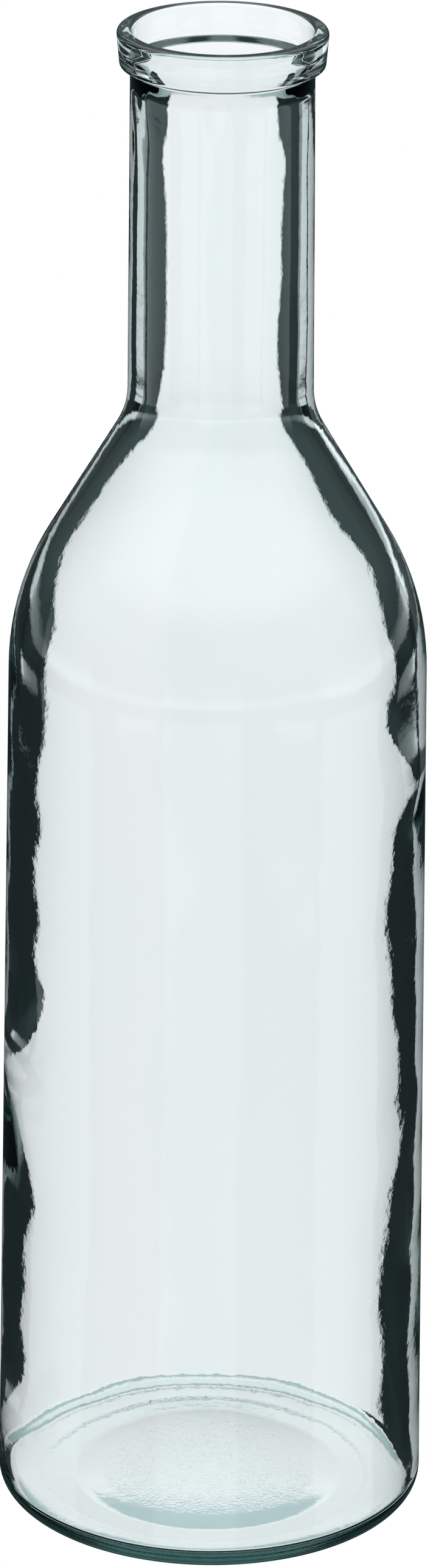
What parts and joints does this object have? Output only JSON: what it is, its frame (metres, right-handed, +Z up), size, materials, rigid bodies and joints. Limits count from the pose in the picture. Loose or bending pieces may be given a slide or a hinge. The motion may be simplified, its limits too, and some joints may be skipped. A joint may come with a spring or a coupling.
{
  "type": "flower vase",
  "caption": "Tall bottle-shaped flower vase in thick clear glass, with a flared mouth, a heavy lip collar, a sloping shoulder and a thick rounded base.",
  "frame": {"origin": "centre of the bearing ring under the base, on the surface that the vase stands on", "axes": "+Z up along the vase's axis, from the base to the mouth; X and Y are alike, because the vase is round"},
  "size_m": [0.14, 0.14, 0.5],
  "materials": {
    "clear_glass": "thick clear recycled glass, polished outside, faint blue-green tint, slightly uneven inner wall"
  },
  "bodies": {
    "root": {"base": "clear_glass", "body_wall": "clear_glass", "shoulder": "clear_glass", "neck": "clear_glass", "lip_collar": "clear_glass"}
  },
  "joints": []
}
